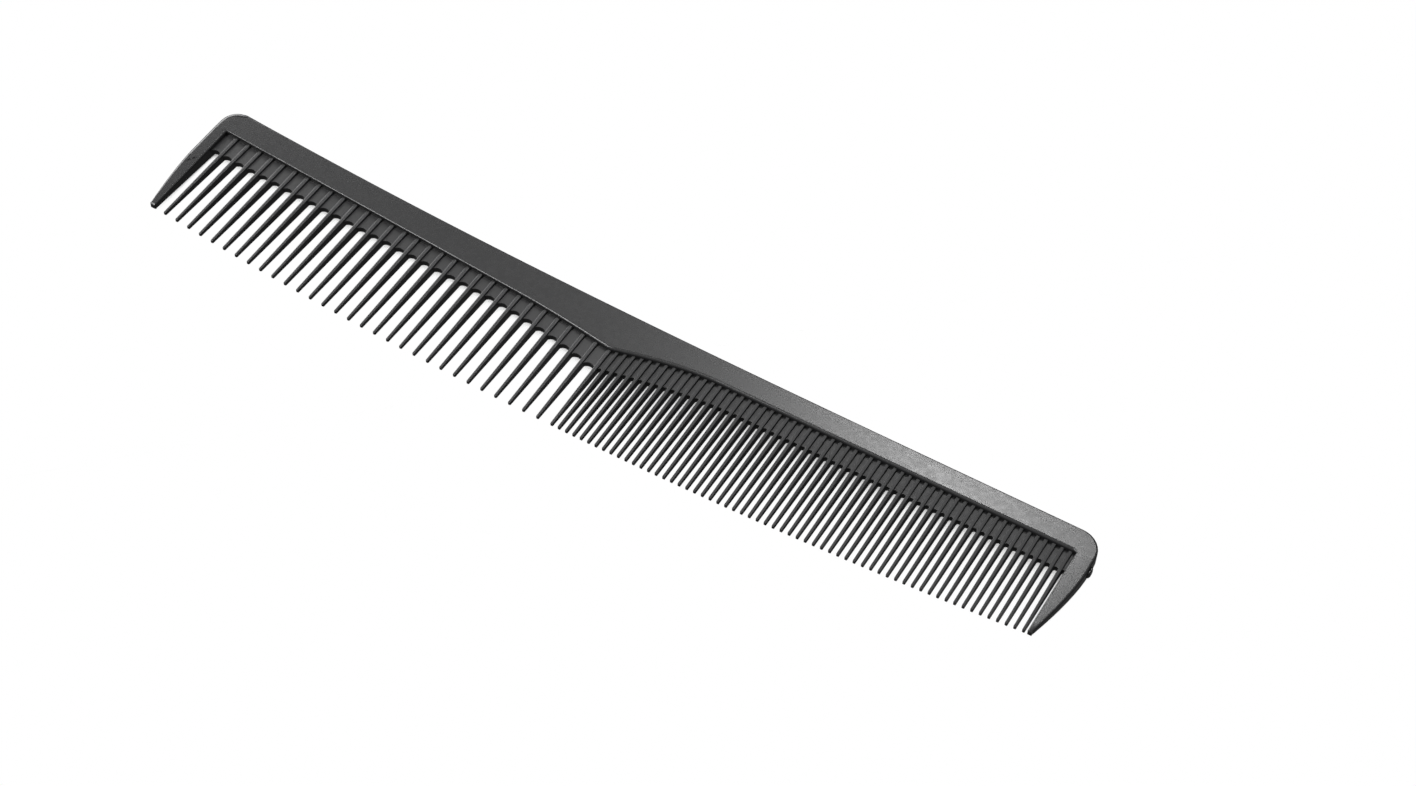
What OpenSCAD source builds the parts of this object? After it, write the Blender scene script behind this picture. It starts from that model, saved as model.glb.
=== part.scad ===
// Cutting comb with a coarse half and a fine half, moulded in one piece.
// It lies flat: X runs from the coarse end to the fine end, Y from the tooth tips to the back,
// Z through the thickness. Heights are measured up from the lowest tooth tip.

/* [Whole comb] */
// Length from end to end
comb_l = 178.4; // [150:0.1:220]
// How far the junction of the two halves lies from the middle, towards the fine end
junction_shift = 0.5; // [-2:0.1:2]
// Height at the coarse end, from the line of the lowest tooth tip to the back
comb_w = 30.9; // [27:0.1:38]
// Radius of the arc that the tooth tips lie on
tip_arc_r = 880; // [600:10:2000]

/* [Spine] */
// Thickness of the spine
spine_t = 3; // [2.4:0.1:4]
// How far the back drops from the coarse end to the fine end
back_drop = 5.2; // [3:0.1:7]
// How sharply the back rises near the coarse end
back_curve = 3.2; // [1.5:0.1:4]
// Depth of the spine at the coarse end
spine_coarse_d = 5.55; // [4:0.05:7]
// Depth of the spine at the junction of the two halves
spine_junction_d = 8.35; // [6.5:0.05:9.5]
// Depth of the spine at the fine end
spine_fine_d = 4.6; // [3.4:0.05:6]
// How far the spine's tooth-side edge falls along the coarse half, before the dip
spine_edge_fall = 6.45; // [5:0.05:8]
// Reach of the dip in the spine's edge on either side of the junction
spine_dip_reach = 20; // [12:1:30]
// Radius of the back's corner at the coarse end
coarse_corner_r = 3.4; // [1:0.1:5]
// Radius of the back's corner at the fine end
fine_corner_r = 4; // [1:0.1:4.2]

/* [Web] */
// Thickness of the thin web between the teeth
web_t = 1.1; // [0.8:0.1:1.6]
// Height of the web at the coarse end
web_coarse_h = 4.2; // [3:0.1:6]
// Height of the web at the junction
web_junction_h = 4; // [3:0.1:6]
// Height of the web at the fine end
web_fine_h = 3.6; // [3:0.1:6]
// How far the slot tops fall along the coarse half, before the dip
slot_fall = 4.45; // [3:0.05:6]
// Reach of the dip in the slot tops on either side of the junction
slot_dip_reach = 26; // [15:1:35]
// Height of the arch at the top of each coarse slot
coarse_arch_h = 0.55; // [0.1:0.05:0.6]
// Height of the arch at the top of each fine slot
fine_arch_h = 0.35; // [0.1:0.05:0.35]

/* [Coarse teeth] */
// Nominal spacing of the coarse teeth
coarse_pitch = 2.8; // [2.2:0.1:4]
// Width of a coarse tooth where it leaves the spine
coarse_root_w = 0.84; // [0.6:0.02:1.2]
// Width of a coarse tooth at its tip
coarse_tip_w = 0.5; // [0.4:0.02:0.6]

/* [Fine teeth] */
// Nominal spacing of the fine teeth
fine_pitch = 1.434; // [1.2:0.001:2]
// Width of a fine tooth where it leaves the spine
fine_root_w = 0.66; // [0.4:0.02:0.7]
// Width of a fine tooth at its tip
fine_tip_w = 0.46; // [0.3:0.02:0.5]

/* [All teeth] */
// Share of a tooth's width that is left flat along its crest
crest_share = 0.45; // [0.2:0.05:0.6]
// Thickness of a tooth where it leaves the spine
tooth_root_t = 2; // [1.8:0.1:3]
// Thickness of a tooth at its tip
tooth_tip_t = 0.7; // [0.6:0.1:1.2]

/* [Guard teeth] */
// Width of the guard tooth at the coarse end
coarse_guard_w = 2.95; // [2.4:0.01:4]
// Width of the guard tooth at the fine end
fine_guard_w = 3.18; // [2.6:0.01:4.2]
// Width of the coarse guard tooth at its tip
coarse_guard_tip_w = 1.2; // [0.8:0.1:1.8]
// Width of the fine guard tooth at its tip
fine_guard_tip_w = 0.8; // [0.6:0.1:1.8]
// How much narrower the gap beside the fine guard tooth is than the other fine gaps
fine_gap_cut = 0.25; // [0:0.05:0.4]
// How far the fine guard tooth's inner side leans towards the fine teeth at its tip
fine_guard_lean = 0.25; // [0:0.05:0.3]
// Thickness of both guard teeth at the tip
guard_tip_t = 1.3; // [1:0.1:1.8]
// Height above the tip at which the guard teeth begin to narrow
guard_taper_h = 14.4; // [10:0.2:15]
// How late the guard teeth narrow, from 1 for a straight edge
guard_curve = 1.5; // [1:0.05:2]

/* [Gate nib] */
// Length of the nib left by the moulding gate
nib_l = 1.8; // [1:0.1:3]
// How far the nib stands out of the end wall
nib_out = 0.4; // [0.2:0.1:0.8]
// Thickness of the nib
nib_t = 1.4; // [0.8:0.1:2]
// Gap between the nib and the spine above it
nib_drop = 0.6; // [0.4:0.1:3]

/* [Hidden] */

// Length of each half, measured from the middle of the junction tooth
coarse_l = comb_l / 2 + junction_shift;
fine_l = comb_l / 2 - junction_shift;
// Straight pieces along the back, and in each small arc or curve
back_steps = 48;
arc_steps = 8;
// Turn of the bevels that run down each side of a tooth's crest
bevel_angle = 40;
// Share of the nib's length that each of its sloping ends takes
nib_share = 0.2;

// Teeth are spread evenly between the junction tooth and each guard tooth.
coarse_run = coarse_l - coarse_guard_w + coarse_root_w / 2;
coarse_gaps = round(coarse_run / coarse_pitch);
coarse_step = coarse_run / coarse_gaps;
fine_run = fine_l - fine_guard_w + fine_root_w / 2 + fine_gap_cut;
fine_gaps = round(fine_run / fine_pitch);
fine_step = fine_run / fine_gaps;

// Heights of the spine's tooth-side edge and of the slot tops, before and in the dip.
coarse_edge_h = comb_w - spine_coarse_d;
fine_edge_h = comb_w - back_drop - spine_fine_d;
junction_edge_h = back_h(0) - spine_junction_d;
coarse_slot_h = coarse_edge_h - web_coarse_h;
fine_slot_h = fine_edge_h - web_fine_h;
junction_slot_h = junction_edge_h - web_junction_h;

function back_h(x) = comb_w - back_drop + back_drop * pow((fine_l - x) / comb_l, back_curve);
function back_slope(x) = (back_h(x + 0.1) - back_h(x - 0.1)) / 0.2;
function tip_h(x) = tip_arc_r - sqrt(tip_arc_r * tip_arc_r - x * x);

// Share of the dip that is left at a distance from the junction
function dip(x, reach) = 1 - sin(90 * min(abs(x) / reach, 1));
// A height that falls evenly along the coarse half, dips at the junction and is level in the fine half
function line_h(x, coarse_h, fall, junction_h, fine_h, reach) =
    x < 0
    ? coarse_h - fall * (x + coarse_l) / coarse_l - (coarse_h - fall - junction_h) * dip(x, reach)
    : fine_h - (fine_h - junction_h) * dip(x, reach);
function edge_h(x) =
    line_h(x, coarse_edge_h, spine_edge_fall, junction_edge_h, fine_edge_h, spine_dip_reach);
function slot_h(x) =
    line_h(x, coarse_slot_h, slot_fall, junction_slot_h, fine_slot_h, slot_dip_reach);

// Each tooth is [centre, width at the spine, width at the tip].
coarse_set = [for (k = [coarse_gaps - 1:-1:0]) [-k * coarse_step, coarse_root_w, coarse_tip_w]];
fine_set = [for (k = [1:fine_gaps - 1]) [k * fine_step, fine_root_w, fine_tip_w]];

// The corners of a tooth's side, at the spine and just above its tip. The side is -1 or 1.
function root_point(tooth, side) =
    let (x = tooth[0] + side * tooth[1] / 2) [x, edge_h(x)];
function foot_point(tooth, side) =
    [tooth[0] + side * tooth[2] / 2, tip_h(tooth[0]) + tooth[2] / 2];
function tooth_side(tooth, side) = [root_point(tooth, side), foot_point(tooth, side)];
// The inner side of a guard tooth, and how far it has leaned at its foot
function guard_side(x, lean) = [[x, edge_h(x)], [x - lean, tip_h(x)]];
coarse_guard_side = guard_side(-coarse_l + coarse_guard_w, 0);
fine_guard_side = guard_side(fine_l - fine_guard_w, fine_guard_lean);

// Point on a side at a given height
function on_side(side, h) =
    let (share = (side[0][1] - h) / (side[0][1] - side[1][1]))
    [side[0][0] + (side[1][0] - side[0][0]) * share, h];
// Points of an arc about a centre
function arc(centre, r, from, to) =
    [for (k = [0:arc_steps]) let (a = from + (to - from) * k / arc_steps)
        centre + r * [cos(a), sin(a)]];
// Centre of a corner arc that touches the end wall and the back
function corner_centre(x, r) = [x, back_h(x) - r * sqrt(1 + pow(back_slope(x), 2))];

// Distance from a tooth's middle to its bevels
function bevel_reach(w, t) = crest_share * w / 2 * cos(bevel_angle) + t / 2 * sin(bevel_angle);

// Moves the comb from its own heights to the frame: middle of the length and width, underside at 0.
module lay_flat() {
    translate([junction_shift, -comb_w / 2, spine_t / 2])
        children();
}

// Outline that narrows from the spine to a round tip, seen along the length
module taper_outline(top_h, bottom_h, root, tip) {
    polygon(concat(
        [[-root / 2, top_h], [root / 2, top_h]],
        arc([0, bottom_h + tip / 2], tip / 2, 0, -180)));
}

// Bevels on one diagonal of a tooth, as a wedge that is cut square at both ends
module bevel_wedge(turn, top_h, bottom_h, root, tip) {
    rotate([0, turn, 0])
        linear_extrude(2 * spine_t, center = true)
            polygon([[-root, top_h], [root, top_h], [tip, bottom_h], [-tip, bottom_h]]);
}

module tooth_body(tooth) {
    left = tooth_side(tooth, -1);
    right = tooth_side(tooth, 1);
    top_h = max(left[0][1], right[0][1]);
    bottom_h = tip_h(tooth[0]);
    root_reach = bevel_reach(tooth[1], tooth_root_t);
    tip_reach = bevel_reach(tooth[2], tooth_tip_t);
    intersection() {
        linear_extrude(spine_t, center = true)
            polygon(concat([left[0], right[0]], arc([tooth[0], left[1][1]], tooth[2] / 2, 0, -180)));
        translate([tooth[0], 0, 0]) {
            intersection() {
                rotate([0, -90, 0])
                    linear_extrude(2 * spine_t, center = true)
                        taper_outline(top_h, bottom_h, tooth_root_t, tooth_tip_t);
                bevel_wedge(bevel_angle, top_h, bottom_h, root_reach, tip_reach);
                bevel_wedge(-bevel_angle, top_h, bottom_h, root_reach, tip_reach);
            }
        }
    }
}

// One bay of web between two tooth sides, with an arched lower edge
module web_bay(left, right, arch_h) {
    crown_h = slot_h((left[0][0] + right[0][0]) / 2);
    low_left = on_side(left, crown_h - arch_h);
    low_right = on_side(right, crown_h - arch_h);
    half_gap = (low_right[0] - low_left[0]) / 2;
    arch_r = (half_gap * half_gap + arch_h * arch_h) / (2 * arch_h);
    spread = asin(min(half_gap / arch_r, 1));
    linear_extrude(web_t, center = true)
        polygon(concat(
            [right[0], left[0]],
            arc([(low_left[0] + low_right[0]) / 2, crown_h - arch_r], arch_r, 90 + spread, 90 - spread)));
}

// A guard tooth, whose outer edge runs straight down from the spine and then curves in.
// It is on the end given, -1 or 1, and inner is its inner side.
module guard_tooth(end, outer_x, inner, tip_w) {
    inner_x = inner[0][0];
    bottom_h = inner[1][1];
    tip_r = tip_w / 2;
    foot_x = inner[1][0] + end * tip_r;
    tip_outer_x = foot_x + end * tip_r;
    taper_span = guard_taper_h - tip_r;
    intersection() {
        linear_extrude(spine_t, center = true)
            polygon(concat(
                [inner[0], [outer_x, edge_h(outer_x)]],
                [for (k = [0:arc_steps - 1]) let (share = k / arc_steps)
                    [outer_x + (tip_outer_x - outer_x) * pow(share, guard_curve),
                     bottom_h + guard_taper_h - taper_span * share]],
                arc([foot_x, bottom_h + tip_r], tip_r, 90 - 90 * end, 90 - 270 * end)));
        translate([outer_x, 0, 0])
            rotate([0, -90, 0])
                linear_extrude(comb_w, center = true)
                    taper_outline(max(edge_h(inner_x), edge_h(outer_x)), bottom_h, spine_t, guard_tip_t);
    }
}

module spine() {
    teeth = concat(coarse_set, fine_set);
    tooth_edge = concat(
        [[-coarse_l, edge_h(-coarse_l)], coarse_guard_side[0]],
        [for (tooth = teeth) for (side = [-1, 1]) root_point(tooth, side)],
        [fine_guard_side[0], [fine_l, edge_h(fine_l)]]);
    fine_centre = corner_centre(fine_l - fine_corner_r, fine_corner_r);
    coarse_centre = corner_centre(-coarse_l + coarse_corner_r, coarse_corner_r);
    back_from = fine_centre[0];
    back_to = coarse_centre[0] + coarse_corner_r;
    color("dimgray")
        lay_flat()
            linear_extrude(spine_t, center = true)
                polygon(concat(
                    tooth_edge,
                    arc(fine_centre, fine_corner_r, 0, 90 + atan(back_slope(back_from))),
                    [for (k = [1:back_steps]) let (x = back_from + (back_to - back_from) * k / back_steps)
                        [x, back_h(x)]],
                    arc(coarse_centre, coarse_corner_r, 90 + atan(back_slope(coarse_centre[0])), 180)));
}

module coarse_guard_tooth() {
    color("dimgray")
        lay_flat()
            guard_tooth(-1, -coarse_l, coarse_guard_side, coarse_guard_tip_w);
}

module fine_guard_tooth() {
    color("dimgray")
        lay_flat()
            guard_tooth(1, fine_l, fine_guard_side, fine_guard_tip_w);
}

module coarse_teeth() {
    color("slategray")
        lay_flat()
            for (tooth = coarse_set)
                tooth_body(tooth);
}

module fine_teeth() {
    color("gray")
        lay_flat()
            for (tooth = fine_set)
                tooth_body(tooth);
}

module coarse_web() {
    color("darkslategray")
        lay_flat() {
            web_bay(coarse_guard_side, tooth_side(coarse_set[0], -1), coarse_arch_h);
            for (k = [1:coarse_gaps - 1])
                web_bay(tooth_side(coarse_set[k - 1], 1), tooth_side(coarse_set[k], -1), coarse_arch_h);
        }
}

module fine_web() {
    last = fine_gaps - 2;
    color("darkslategray")
        lay_flat() {
            web_bay(tooth_side(coarse_set[coarse_gaps - 1], 1), tooth_side(fine_set[0], -1), fine_arch_h);
            for (k = [1:last])
                web_bay(tooth_side(fine_set[k - 1], 1), tooth_side(fine_set[k], -1), fine_arch_h);
            web_bay(tooth_side(fine_set[last], 1), fine_guard_side, fine_arch_h);
        }
}

// Stub on the fine end wall where the mould was filled
module gate_nib() {
    top_h = edge_h(fine_l) - nib_drop;
    chamfer = nib_share * nib_l;
    color("dimgray")
        lay_flat()
            linear_extrude(nib_t, center = true)
                polygon([
                    [fine_l, top_h],
                    [fine_l, top_h - nib_l],
                    [fine_l + nib_out, top_h - nib_l + chamfer],
                    [fine_l + nib_out, top_h - chamfer]]);
}

spine();
coarse_guard_tooth();
fine_guard_tooth();
coarse_teeth();
fine_teeth();
coarse_web();
fine_web();
gate_nib();
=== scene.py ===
import math

import bmesh
import bpy
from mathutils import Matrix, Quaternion, Vector


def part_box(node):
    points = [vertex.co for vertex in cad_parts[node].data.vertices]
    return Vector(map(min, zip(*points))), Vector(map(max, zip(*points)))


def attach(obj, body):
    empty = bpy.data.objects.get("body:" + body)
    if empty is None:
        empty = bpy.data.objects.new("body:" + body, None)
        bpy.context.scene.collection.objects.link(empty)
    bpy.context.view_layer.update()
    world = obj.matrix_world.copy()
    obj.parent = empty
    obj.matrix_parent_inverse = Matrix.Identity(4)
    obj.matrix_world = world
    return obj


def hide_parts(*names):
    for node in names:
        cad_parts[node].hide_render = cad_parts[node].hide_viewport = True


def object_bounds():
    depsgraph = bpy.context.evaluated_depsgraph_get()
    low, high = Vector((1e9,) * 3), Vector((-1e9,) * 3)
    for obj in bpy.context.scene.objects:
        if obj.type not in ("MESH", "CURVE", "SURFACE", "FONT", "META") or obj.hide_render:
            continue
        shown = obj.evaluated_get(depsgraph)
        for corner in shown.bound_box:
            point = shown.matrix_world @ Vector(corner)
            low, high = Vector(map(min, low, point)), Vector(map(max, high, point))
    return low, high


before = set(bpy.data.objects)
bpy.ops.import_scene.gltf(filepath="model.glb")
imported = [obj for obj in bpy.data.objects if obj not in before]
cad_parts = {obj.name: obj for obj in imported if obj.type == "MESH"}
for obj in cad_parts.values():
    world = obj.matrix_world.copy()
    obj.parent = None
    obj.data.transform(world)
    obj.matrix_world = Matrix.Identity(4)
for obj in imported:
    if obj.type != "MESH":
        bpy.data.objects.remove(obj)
bpy.context.view_layer.update()
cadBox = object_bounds()  # the size that every piece keeps to
midHeight = (cadBox[0].z + cadBox[1].z) / 2
mm = 0.001
endNodes = ("coarse_guard_tooth", "fine_guard_tooth")
levelFace = 0.9  # a face whose normal has more than this along an axis squarely faces that way
wallFace = 0.5  # and one whose normal has less than this along Z is a wall
print("frame loaded:", len(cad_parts), "CAD nodes")


def pickOnly(piece):  # everything else is deselected first
    bpy.ops.object.select_all(action="DESELECT")
    piece.select_set(True)
    bpy.context.view_layer.objects.active = piece


def openEdit(piece):
    pickOnly(piece)
    bpy.ops.object.mode_set(mode="EDIT")
    bpy.ops.mesh.select_mode(type="VERT")
    bpy.ops.mesh.select_all(action="DESELECT")


def closeEdit():
    bpy.ops.object.mode_set(mode="OBJECT")


def pickFaces(test):  # selects the faces of the mesh in edit mode that pass the test
    bpy.ops.mesh.select_mode(type="FACE")
    bpy.ops.mesh.select_all(action="DESELECT")
    mesh = bpy.context.object.data
    work = bmesh.from_edit_mesh(mesh)
    for face in work.faces:
        face.select_set(test(face))
    bmesh.update_edit_mesh(mesh)


def pickEdges(test):
    bpy.ops.mesh.select_mode(type="EDGE")
    bpy.ops.mesh.select_all(action="DESELECT")
    mesh = bpy.context.object.data
    work = bmesh.from_edit_mesh(mesh)
    for edge in work.edges:
        edge.select_set(test(edge))
    bmesh.update_edit_mesh(mesh)


def pickVerts(test):
    bpy.ops.mesh.select_mode(type="VERT")
    bpy.ops.mesh.select_all(action="DESELECT")
    mesh = bpy.context.object.data
    work = bmesh.from_edit_mesh(mesh)
    for vert in work.verts:
        vert.select_set(test(vert.co))
    bmesh.update_edit_mesh(mesh)


def applyModifier(piece, kind, **settings):
    pickOnly(piece)
    modifier = piece.modifiers.new(kind, kind)
    for name, value in settings.items():
        setattr(modifier, name, value)
    bpy.ops.object.modifier_apply(modifier=modifier.name)


def copyPiece(piece, name):
    twin = piece.copy()
    twin.data = piece.data.copy()
    twin.name = twin.data.name = name
    bpy.context.scene.collection.objects.link(twin)
    return twin


def copyNode(nodeName):  # a merged copy of a CAD node, ready to be shaped
    piece = bpy.data.objects.new(nodeName + "Copy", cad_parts[nodeName].data.copy())
    bpy.context.scene.collection.objects.link(piece)
    piece.data.materials.clear()
    openEdit(piece)
    bpy.ops.mesh.select_all(action="SELECT")
    bpy.ops.mesh.remove_doubles(threshold=0.001 * mm)
    bpy.ops.mesh.customdata_custom_splitnormals_clear()
    closeEdit()
    return piece


def joinTriangles(piece):  # each flat face becomes one face, and no corner point is lost
    openEdit(piece)
    for side in (1, -1):
        pickFaces(lambda face: face.normal.z * side > 0.99)
        bpy.ops.mesh.dissolve_faces()
    pickFaces(lambda face: abs(face.normal.z) < wallFace)
    bpy.ops.mesh.tris_convert_to_quads(face_threshold=math.radians(0.05),
                                       shape_threshold=math.radians(180))
    closeEdit()
    return piece


def joinAll(pieces, name):
    bpy.ops.object.select_all(action="DESELECT")
    for piece in pieces:
        piece.select_set(True)
    bpy.context.view_layer.objects.active = pieces[0]
    bpy.ops.object.join()
    bpy.context.object.name = name
    bpy.context.object.data.name = name
    return bpy.context.object


def looseParts(piece):  # splits a piece into its separate solids, in order along the comb
    pickOnly(piece)
    bpy.ops.mesh.separate(type="LOOSE")
    return sorted(bpy.context.selected_objects, key=lambda part: meshBox(part)[0].x)


def meshBox(piece):
    places = [vert.co for vert in piece.data.vertices]
    return (Vector([min(place[axis] for place in places) for axis in range(3)]),
            Vector([max(place[axis] for place in places) for axis in range(3)]))


def finishPiece(piece, nodeName, material, smoothAngle=35):
    pickOnly(piece)
    bpy.ops.object.shade_smooth_by_angle(angle=math.radians(smoothAngle))
    applyModifier(piece, "WEIGHTED_NORMAL", mode="FACE_AREA", weight=50, keep_sharp=True)
    piece.data.materials.clear()
    piece.data.materials.append(material)
    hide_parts(nodeName)
    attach(piece, "root")
    print(piece.name, "has", len(piece.data.polygons), "faces")


def hexColour(code):  # an sRGB hex value as linear red, green, blue, alpha
    parts = [int(code[place:place + 2], 16) / 255 for place in (0, 2, 4)]
    linear = [part / 12.92 if part <= 0.04045 else ((part + 0.055) / 1.055) ** 2.4 for part in parts]
    return (*linear, 1)


def addNode(tree, kind, settings=None, links=None):
    # settings: a property name, or an input's name or number, and its value
    # links: an input's name or number, and the output that feeds it
    node = tree.nodes.new(kind)
    for name, value in (settings or {}).items():
        if isinstance(name, str) and hasattr(node, name):
            setattr(node, name, value)
        else:
            node.inputs[name].default_value = value
    for name, output in (links or {}).items():
        tree.links.new(output, node.inputs[name])
    return node


def newMaterial(name):
    material = bpy.data.materials.new(name)
    material.use_nodes = True
    material.node_tree.nodes.clear()
    return material, material.node_tree


# Carbon-filled moulding plastic, pressed in a spark-eroded mould. The erosion leaves a fine satin grain,
# and the plastic's flow leaves broad, faint clouds that are a little glossier or duller.
# The real grain is about 0.05 mm, too fine to show, so it is drawn at the size below.
plasticLook = {
    "colour": "1b1b1c",
    "cloudColour": "202021",
    "roughnessLow": 0.25,
    "roughnessHigh": 0.29,
    "ior": 1.5,
    "grainSize": 0.45,  # mm
    "grainHeight": 0.0004,  # mm
    "mottleSize": 0.9,  # mm
    "flowSize": 1.3,  # mm
    "flowHeight": 0.0016,  # mm
    "cloudSize": 14,  # mm
}
# The mould's slots and pockets can't be polished after they're eroded, so what they form is duller.
coarseLook = dict(plasticLook, roughnessLow=0.35, roughnessHigh=0.39)
# The floors of the narrow pockets between the fine ribs are rougher still, and their colour is darker than
# the plastic's own: painted shade for the recessed pockets.
fineWebLook = dict(plasticLook, roughnessLow=0.44, roughnessHigh=0.5,
                   colour="171718", cloudColour="1c1c1d")
# The narrow slots of the fine teeth keep the whole of the eroded skin, so those teeth are the dullest;
# their colour is also darker than the plastic's own, as painted shade.
fineToothLook = dict(plasticLook, roughnessLow=0.52, roughnessHigh=0.56,
                     colour="131314", cloudColour="181819")


def mouldedPlastic(name, look):
    material, tree = newMaterial(name)
    place = {"Vector": addNode(tree, "ShaderNodeTexCoord").outputs["Object"]}
    grain = addNode(tree, "ShaderNodeTexNoise",
                    {"Scale": 1 / (look["grainSize"] * mm), "Detail": 2, "Roughness": 0.6}, place)
    mottle = addNode(tree, "ShaderNodeTexNoise",
                     {"Scale": 1 / (look["mottleSize"] * mm), "Detail": 3, "Roughness": 0.55}, place)
    cloud = addNode(tree, "ShaderNodeTexNoise",
                    {"Scale": 1 / (look["cloudSize"] * mm), "Detail": 2}, place)
    flow = addNode(tree, "ShaderNodeTexNoise",
                   {"Scale": 1 / (look["flowSize"] * mm), "Detail": 3, "Roughness": 0.5}, place)
    gloss = addNode(tree, "ShaderNodeMapRange",
                    {"From Min": 0.3, "From Max": 0.7,
                     "To Min": look["roughnessLow"], "To Max": look["roughnessHigh"]},
                    {"Value": mottle.outputs["Fac"]})
    tint = addNode(tree, "ShaderNodeMix",
                   {"data_type": "RGBA", 6: hexColour(look["colour"]), 7: hexColour(look["cloudColour"])},
                   {0: cloud.outputs["Fac"]})
    wave = addNode(tree, "ShaderNodeBump", {"Strength": 1, "Distance": look["flowHeight"] * mm},
                   {"Height": flow.outputs["Fac"]})
    bump = addNode(tree, "ShaderNodeBump", {"Strength": 1, "Distance": look["grainHeight"] * mm},
                   {"Height": grain.outputs["Fac"], "Normal": wave.outputs["Normal"]})
    shader = addNode(tree, "ShaderNodeBsdfPrincipled", {"IOR": look["ior"]},
                     {"Base Color": tint.outputs[2], "Roughness": gloss.outputs["Result"],
                      "Normal": bump.outputs["Normal"]})
    addNode(tree, "ShaderNodeOutputMaterial", {}, {"Surface": shader.outputs["BSDF"]})
    return material


combPlastic = mouldedPlastic("satinCarbonPlastic", plasticLook)
coarsePlastic = mouldedPlastic("dullCarbonPlastic", coarseLook)
fineToothPlastic = mouldedPlastic("skinAndShadedCarbonPlastic", fineToothLook)
fineWebPlastic = mouldedPlastic("erodedAndShadedCarbonPlastic", fineWebLook)


# The spine and the guard teeth are shaped as one body, so that the rim runs on, and then cut apart.
bodySize = {  # mm; a rim is the rounding between a flat face and a wall
    "rimCoarseEnd": 1.0,
    "rimBack": 0.3,
    "rimFineEnd": 0.38,
    "rimCoarseInner": 0.4,
    "rimFineInner": 0.65,
    "rimCoarseGuard": 0.5,  # the guard teeth's inner sides, where they leave the spine
    "rimFineGuard": 0.35,
    "rimTip": 0.28,
    "rimSteps": 6,  # faces across the rim
    "blendLength": 14,  # length along the comb in which one width turns into the next
    "endBay": 3.6,  # length at each end without cross cuts
    "guardCuts": 7,  # number of cross cuts along a guard tooth
    "cutBeside": 0.9,  # how far the cut beside a guard tooth lies inside it
    "cutUnder": 0.1,  # and the cut under the spine's edge lies below it
    "edgeFall": 0.5,  # at most how far the spine's edge falls across a guard tooth
    "cornerReach": 0.3,  # how far below that edge a guard tooth's corners reach
    "seam": 0.02,  # points closer than this are one point
    "slack": 0.01,
    "cutSlack": 0.005,  # finer than usual, so that a cut can pass close to a point
}


def blendShare(value, start, end):
    share = min(max((value - start) / (end - start), 0), 1)
    return share * share * (3 - 2 * share)


def cutAcross(place, normal, **settings):  # bisects what is selected
    bpy.ops.mesh.bisect(plane_co=place, plane_no=normal, threshold=bodySize["cutSlack"] * mm, **settings)


def bayMiddle(marks, value):  # the middle of the bay, between two cross cuts, that a value lies in
    return (max(mark for mark in marks if mark <= value) + min(mark for mark in marks if mark > value)) / 2


def inGuard(nodeName):  # a test for faces that belong to one guard tooth
    low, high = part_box(nodeName)
    slack = bodySize["slack"] * mm
    return lambda face: all(low.x - slack < vert.co.x < high.x + slack and vert.co.y < high.y + slack
                            for vert in face.verts)


def makeBody():
    low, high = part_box("spine")
    seam, slack, edgeFall = (bodySize[name] * mm for name in ("seam", "slack", "edgeFall"))
    straightBack = 0.97  # the back's own faces point this squarely to +Y, and its corners' don't
    body = joinAll([joinTriangles(copyNode(nodeName)) for nodeName in ("spine", *endNodes)], "combBody")
    openEdit(body)
    bpy.ops.mesh.select_all(action="SELECT")
    bpy.ops.mesh.remove_doubles(threshold=seam)
    for nodeName in endNodes:  # the faces where each guard tooth met the spine go
        guardLow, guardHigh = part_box(nodeName)
        pickFaces(lambda face: abs(face.normal.y) > levelFace
                  and all(guardLow.x - slack < vert.co.x < guardHigh.x + slack
                          and abs(vert.co.y - guardHigh.y) < edgeFall for vert in face.verts))
        bpy.ops.mesh.delete(type="FACE")
    closeEdit()
    for vert in body.data.vertices:  # the seam lies level with the faces
        for level in (low.z, high.z):
            if abs(vert.co.z - level) < seam:
                vert.co.z = level
    backPlaces = {body.data.vertices[corner].co.x for face in body.data.polygons
                  if face.normal.y > straightBack for corner in face.vertices}
    ends = low.x + bodySize["endBay"] * mm, high.x - bodySize["endBay"] * mm
    # marks are the places of the cross cuts: the rim's width may change at a cut and nowhere else
    marks = {"spine": sorted(place for place in backPlaces if ends[0] < place < ends[1])}
    openEdit(body)
    for place in marks["spine"]:
        bpy.ops.mesh.select_all(action="SELECT")
        cutAcross((place, 0, 0), (1, 0, 0))
    marks["spine"] = [low.x - mm] + marks["spine"] + [high.x + mm]
    for nodeName in endNodes:
        guardLow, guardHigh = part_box(nodeName)
        step = (guardHigh.y - guardLow.y) / (bodySize["guardCuts"] + 1)
        marks[nodeName] = [guardLow.y + step * cut for cut in range(1, bodySize["guardCuts"] + 1)]
        for place in marks[nodeName]:
            pickFaces(inGuard(nodeName))
            cutAcross((0, place, 0), (0, 1, 0))
        marks[nodeName] = [guardLow.y - mm] + marks[nodeName] + [guardHigh.y + mm]
    closeEdit()
    weighRim(body, marks)
    applyModifier(body, "BEVEL", limit_method="WEIGHT", width=1 * mm, offset_type="OFFSET",
                  segments=bodySize["rimSteps"], profile=0.5, use_clamp_overlap=False)
    return body


def cutGuard(body, nodeName, name):  # the guard tooth is what lies below the spine's edge
    guard = copyPiece(body, name)
    openEdit(guard)
    bpy.ops.mesh.select_all(action="SELECT")
    cutAcross(*besideGuard(nodeName), clear_outer=True)
    bpy.ops.mesh.select_all(action="SELECT")
    cutAcross(*underEdge(nodeName), clear_outer=True, use_fill=True)
    closeEdit()
    return guard


def besideGuard(nodeName):  # a cut just inside the guard tooth, with its normal to the comb's middle
    low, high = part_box(nodeName)
    side = -1 if low.x < 0 else 1
    innerX = high.x if side < 0 else low.x
    return (innerX - side * bodySize["cutBeside"] * mm, 0, 0), (-side, 0, 0)


def underEdge(nodeName):  # a cut just under the spine's tooth-side edge, with its normal to the back
    top = [vert.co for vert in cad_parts[nodeName].data.vertices
           if vert.co.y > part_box(nodeName)[1].y - bodySize["edgeFall"] * mm]
    return (0, min(place.y for place in top) - bodySize["cutUnder"] * mm, 0), (0, 1, 0)


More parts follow.
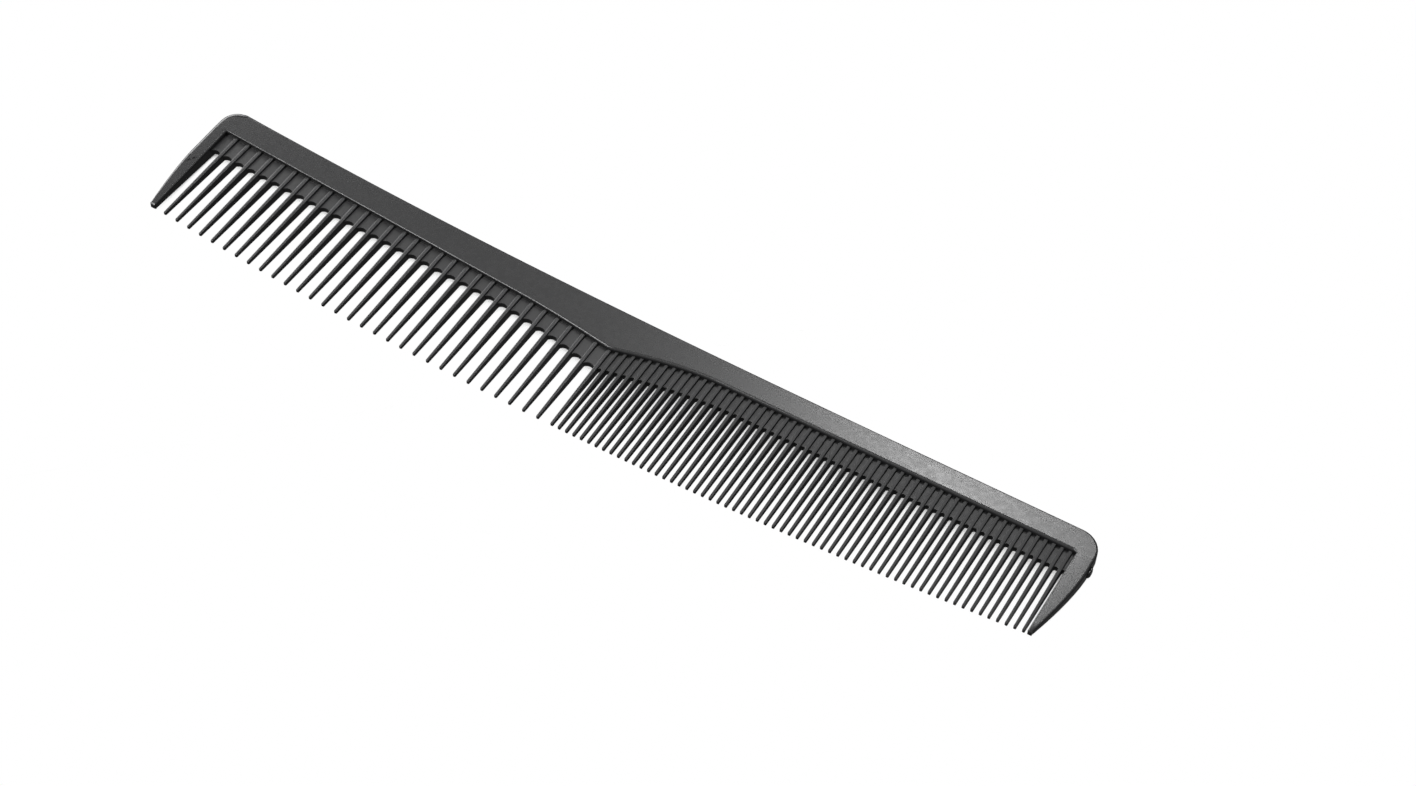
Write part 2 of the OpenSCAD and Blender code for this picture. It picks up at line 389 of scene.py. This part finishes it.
def cutSpine(body, name):
    spine = copyPiece(body, name)
    openEdit(spine)
    for nodeName in endNodes:
        place, normal = besideGuard(nodeName)
        bpy.ops.mesh.select_all(action="SELECT")
        cutAcross(place, normal)
        pickFaces(lambda face: (face.calc_center_median() - Vector(place)).dot(Vector(normal)) < 0)
        cutAcross(*underEdge(nodeName), clear_inner=True, use_fill=True)
    closeEdit()
    return spine


def rimWidth(place, wall, marks):  # the rim's width at an edge, in mm; wall is its wall's normal
    spineLow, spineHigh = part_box("spine")
    blend, endBay, slack = (bodySize[name] * mm for name in ("blendLength", "endBay", "slack"))
    cornerReach = bodySize["cornerReach"] * mm
    for nodeName, side in zip(endNodes, ("Coarse", "Fine")):
        low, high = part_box(nodeName)
        if place.y < high.y and low.x - mm < place.x < high.x + slack and abs(wall.y) < 0.99:
            if place.y > high.y - cornerReach and low.x + mm < place.x < high.x - mm:
                continue
            inner = wall.x * low.x < 0
            root = bodySize["rim" + side + ("Guard" if inner else "End")]
            middle = bayMiddle(marks[nodeName], place.y)
            share = 0 if middle < marks[nodeName][1] else (middle - low.y) / (high.y - low.y)
            return bodySize["rimTip"] + (root - bodySize["rimTip"]) * min(share, 1)
    middle = bayMiddle(marks["spine"], place.x)
    if wall.y < -0.5:  # the tooth-side edge
        width = bodySize["rimCoarseInner"]
        return width + (bodySize["rimFineInner"] - width) * blendShare(middle, -2 * blend, blend)
    width = bodySize["rimBack"]
    coarseShare = blendShare(middle, spineLow.x + blend, spineLow.x + endBay)
    width += (bodySize["rimCoarseEnd"] - width) * coarseShare
    fineShare = blendShare(middle, spineHigh.x - blend, spineHigh.x - endBay)
    return width + (bodySize["rimFineEnd"] - width) * fineShare


def weighRim(body, marks):
    weights = body.data.attributes.new("bevel_weight_edge", "FLOAT", "EDGE")
    work = bmesh.new()
    work.from_mesh(body.data)
    work.edges.ensure_lookup_table()
    for edge in work.edges:
        flat = sorted(abs(face.normal.z) for face in edge.link_faces)
        if len(flat) == 2 and flat[0] < wallFace and flat[1] > levelFace:
            wall = min(edge.link_faces, key=lambda face: abs(face.normal.z)).normal
            middle = (edge.verts[0].co + edge.verts[1].co) / 2
            weights.data[edge.index].value = rimWidth(middle, wall, marks)
    work.free()


body = makeBody()
finishPiece(cutSpine(body, "spineBar"), "spine", combPlastic)
finishPiece(cutGuard(body, "coarse_guard_tooth", "coarseGuardTooth"), "coarse_guard_tooth", combPlastic)
finishPiece(cutGuard(body, "fine_guard_tooth", "fineGuardTooth"), "fine_guard_tooth", combPlastic)
bpy.data.objects.remove(body)


coarseToothSize = {  # mm
    "name": "coarseTeeth",
    "tipWidth": 0.5,
    "tipThickness": 0.7,
    "crestRound": 0.24,  # how wide the rounding along each long edge is
    "noseLength": 0.28,
    "rootInSpine": 0.6,
    "noseTurns": (0, 30, 60, 80),  # degrees around the round nose at which it is drawn out
}
fineToothSize = {
    "name": "fineTeeth",
    "tipWidth": 0.46,
    "tipThickness": 0.7,
    "crestRound": 0.13,
    "noseLength": 0.22,
    "rootInSpine": 0.8,
    "noseTurns": (0, 30, 60, 80),
}


def makeTooth(size, rootWidth, rootThickness, length):
    # one tooth that stands on its tip at the middle of the scene and points to +Y
    bpy.ops.mesh.primitive_cube_add(size=1, location=(0, length / 2, 0),
                                    scale=(rootWidth, length, rootThickness))
    tooth = bpy.context.object
    pickOnly(tooth)
    bpy.ops.object.transform_apply(location=True, rotation=True, scale=True)
    openEdit(tooth)
    pickEdges(lambda edge: abs(edge.verts[0].co.y - edge.verts[1].co.y) > length / 2)
    bpy.ops.mesh.bevel(offset=size["crestRound"] * mm, segments=3, profile=0.5, affect="EDGES")
    nose = size["noseLength"] * mm
    pickVerts(lambda place: place.y < length / 2)
    bpy.ops.transform.resize(value=(size["tipWidth"] * mm / rootWidth, 1,
                                    size["tipThickness"] * mm / rootThickness))
    bpy.ops.transform.translate(value=(0, nose, 0))
    pickFaces(lambda face: face.normal.y < -levelFace)
    turns = [math.radians(turn) for turn in size["noseTurns"]]
    for before, after in zip(turns, turns[1:]):
        narrowing = math.cos(after) / math.cos(before)
        bpy.ops.mesh.extrude_region_move(TRANSFORM_OT_translate={"value": (0, 0, 0)})
        bpy.ops.transform.resize(value=(narrowing, 1, narrowing))
        bpy.ops.transform.translate(value=(0, (math.sin(before) - math.sin(after)) * nose, 0))
    pickFaces(lambda face: face.normal.y > levelFace)
    bpy.ops.mesh.extrude_region_move(TRANSFORM_OT_translate={"value": (0, size["rootInSpine"] * mm, 0)})
    closeEdit()
    return tooth


def makeTeeth(nodeName, size):
    solids = looseParts(copyNode(nodeName))
    boxes = [meshBox(solid) for solid in solids]
    for solid in solids:
        bpy.data.objects.remove(solid)
    low, high = boxes[0]
    length = high.y - low.y
    master = makeTooth(size, high.x - low.x, high.z - low.z, length)
    copies = []
    for low, high in boxes:
        tooth = copyPiece(master, size["name"])
        stretch = (high.y - low.y) - length
        for vert in tooth.data.vertices:  # the root moves to the spine, and the tip stays
            if vert.co.y > length / 2:
                vert.co.y += stretch
            vert.co += Vector(((low.x + high.x) / 2, low.y, midHeight))
        copies.append(tooth)
    bpy.data.objects.remove(master)
    return joinAll(copies, size["name"])


finishPiece(makeTeeth("coarse_teeth", coarseToothSize), "coarse_teeth", coarsePlastic)
finishPiece(makeTeeth("fine_teeth", fineToothSize), "fine_teeth", fineToothPlastic)


webSize = {  # mm
    "slotRound": 0.07,  # rounding of the slot tops' edges
    "topInSpine": 0.25,  # how far each bay runs on into the spine
}


def makeWeb(nodeName, name):
    web = joinTriangles(copyNode(nodeName))
    web.name = web.data.name = name
    openEdit(web)
    slotTop = -0.6  # the slot tops' faces point at least this much to -Y
    pickEdges(lambda edge: len(edge.link_faces) == 2
              and min(face.normal.y for face in edge.link_faces) < slotTop
              and max(abs(face.normal.z) for face in edge.link_faces) > levelFace)
    bpy.ops.mesh.bevel(offset=webSize["slotRound"] * mm, segments=2, profile=0.5, affect="EDGES",
                       clamp_overlap=True)
    pickFaces(lambda face: face.normal.y > levelFace)
    bpy.ops.mesh.extrude_region_move(TRANSFORM_OT_translate={"value": (0, webSize["topInSpine"] * mm, 0)})
    closeEdit()
    return web


finishPiece(makeWeb("coarse_web", "coarseWeb"), "coarse_web", coarsePlastic)
finishPiece(makeWeb("fine_web", "fineWeb"), "fine_web", fineWebPlastic)


nibSize = {"edgeRound": 0.12, "tornDepth": 0.05}  # mm


def makeNib():  # a gate is torn off, so the stub is left a little ragged
    nib = copyNode("gate_nib")
    openEdit(nib)
    bpy.ops.mesh.select_all(action="SELECT")
    bpy.ops.mesh.bevel(offset=nibSize["edgeRound"] * mm, segments=2, affect="EDGES")
    bpy.ops.mesh.select_all(action="SELECT")
    bpy.ops.mesh.subdivide(number_cuts=1)
    bpy.ops.transform.vertex_random(offset=nibSize["tornDepth"] * mm, seed=4)
    closeEdit()
    nib.name = nib.data.name = "gateNib"
    return nib


finishPiece(makeNib(), "gate_nib", combPlastic, smoothAngle=50)


stageLook = {
    "floorWidth": 4,  # m
    "paleColour": "ffffff",
    "floorBounce": 0.1,  # how bright the floor is to everything but the eye
    "shadeReach": 1.9,  # mm, how far a thing above the floor darkens it with painted shadow
    "shadeDark": 0.06,  # openness at which the painted shadow on the floor is black, and at which it is clear
    "shadeClear": 0.4,
    "floorDrop": 0.02,  # mm, how far the floor lies under the comb
    "skyLow": 0.04,  # brightness of the studio's walls
    "skyHigh": 0.72,  # and overhead
    "skyRise": 0.75,  # height in the sky, from 0 to 1, at which it is as bright as overhead
}


def makeFloor():
    material, tree = newMaterial("paleSweep")
    # The floor glows for the eye, and ambient occlusion dims that glow where the comb lies close above it:
    # a painted contact shadow, not a cast one.
    shade = addNode(tree, "ShaderNodeAmbientOcclusion",
                    {"samples": 8, "Distance": stageLook["shadeReach"] * mm})
    clearness = addNode(tree, "ShaderNodeMapRange",
                        {"From Min": stageLook["shadeDark"], "From Max": stageLook["shadeClear"]},
                        {"Value": shade.outputs["AO"]})
    seen = addNode(tree, "ShaderNodeEmission", {"Color": hexColour(stageLook["paleColour"])},
                   {"Strength": clearness.outputs["Result"]})
    bounced = addNode(tree, "ShaderNodeEmission",
                      {"Color": hexColour(stageLook["paleColour"]), "Strength": stageLook["floorBounce"]})
    clear = addNode(tree, "ShaderNodeBsdfTransparent")
    path = addNode(tree, "ShaderNodeLightPath")
    side = addNode(tree, "ShaderNodeNewGeometry")
    lit = addNode(tree, "ShaderNodeMixShader", {},
                  {0: path.outputs["Is Camera Ray"], 1: bounced.outputs[0], 2: seen.outputs[0]})
    whole = addNode(tree, "ShaderNodeMixShader", {},
                    {0: side.outputs["Backfacing"], 1: lit.outputs[0], 2: clear.outputs[0]})
    addNode(tree, "ShaderNodeOutputMaterial", {}, {"Surface": whole.outputs[0]})
    bpy.ops.object.select_all(action="DESELECT")
    bpy.ops.mesh.primitive_plane_add(size=stageLook["floorWidth"],
                                     location=(0, 0, cadBox[0].z - stageLook["floorDrop"] * mm))
    floor = bpy.context.object
    floor.name = "floor"
    bpy.ops.object.transform_apply(location=True, rotation=True, scale=True)
    floor.data.materials.append(material)


def makeSky():  # a studio that is bright overhead and dark along the walls
    world = bpy.data.worlds.new("studio")
    world.use_nodes = True
    tree = world.node_tree
    tree.nodes.clear()
    heading = addNode(tree, "ShaderNodeTexCoord").outputs["Generated"]
    parts = addNode(tree, "ShaderNodeSeparateXYZ", {}, {"Vector": heading})
    glow = addNode(tree, "ShaderNodeMapRange",
                   {"interpolation_type": "SMOOTHSTEP", "From Min": 0, "From Max": stageLook["skyRise"],
                    "To Min": stageLook["skyLow"], "To Max": stageLook["skyHigh"]},
                   {"Value": parts.outputs["Z"]})
    seen = addNode(tree, "ShaderNodeBackground",
                   {"Color": hexColour(stageLook["paleColour"]), "Strength": 1})
    lit = addNode(tree, "ShaderNodeBackground", {"Color": hexColour(stageLook["paleColour"])},
                  {"Strength": glow.outputs["Result"]})
    path = addNode(tree, "ShaderNodeLightPath")
    both = addNode(tree, "ShaderNodeMixShader", {},
                   {0: path.outputs["Is Camera Ray"], 1: lit.outputs[0], 2: seen.outputs[0]})
    addNode(tree, "ShaderNodeOutputWorld", {}, {"Surface": both.outputs[0]})
    bpy.context.scene.world = world


softboxes = {  # direction from the comb, distance, width and height in metres, power in watts
    "backSoftbox": {"towards": (-0.202, 0.538, 0.818), "distance": 1.2, "width": 0.09, "height": 0.18,
                    "power": 2.35, "aim": (0.061, 0.010, 0.003)},
    "topSoftbox": {"towards": (-0.47, -0.30, 0.83), "distance": 1.0, "width": 0.2, "height": 0.4,
                   "power": 5, "aim": (-0.045, 0, 0)},
    "sidePanel": {"towards": (-0.82, 0.52, 0.30), "distance": 1.0, "width": 0.7, "height": 0.5,
                  "power": 7, "aim": (-0.045, 0, 0)},
}


def makeSoftbox(name, look):
    lamp = bpy.data.lights.new(name, "AREA")
    lamp.shape = "RECTANGLE"
    lamp.size = look["width"]
    lamp.size_y = look["height"]
    lamp.energy = look["power"]
    box = bpy.data.objects.new(name, lamp)
    way = Vector(look["towards"]).normalized()
    box.location = Vector(look["aim"]) + way * look["distance"]
    box.rotation_euler = (-way).to_track_quat("-Z", "Y").to_euler()
    bpy.context.scene.collection.objects.link(box)


cameraSet = {
    "place": (0.144274, -0.212969, 0.314286),
    "aim": (0.019146, 0.003933, 0.0015),
    "roll": -1.11,  # degrees
    "lens": 60.93,
    "sensor": 36,
}


def makeCamera():
    camera = bpy.data.cameras.new("camera")
    camera.lens = cameraSet["lens"]
    camera.sensor_width = cameraSet["sensor"]
    camera.clip_start = 0.01
    camera.dof.use_dof = False
    holder = bpy.data.objects.new("camera", camera)
    bpy.context.scene.collection.objects.link(holder)
    look = Vector(cameraSet["aim"]) - Vector(cameraSet["place"])
    holder.location = cameraSet["place"]
    holder.rotation_mode = "QUATERNION"
    holder.rotation_quaternion = (Quaternion(look.normalized(), math.radians(cameraSet["roll"]))
                                  @ look.to_track_quat("-Z", "Y"))
    bpy.context.scene.camera = holder


makeFloor()
makeSky()
for name, look in softboxes.items():
    makeSoftbox(name, look)
makeCamera()
bpy.context.scene.view_settings.view_transform = "Standard"
print("stage set")

bpy.context.view_layer.update()
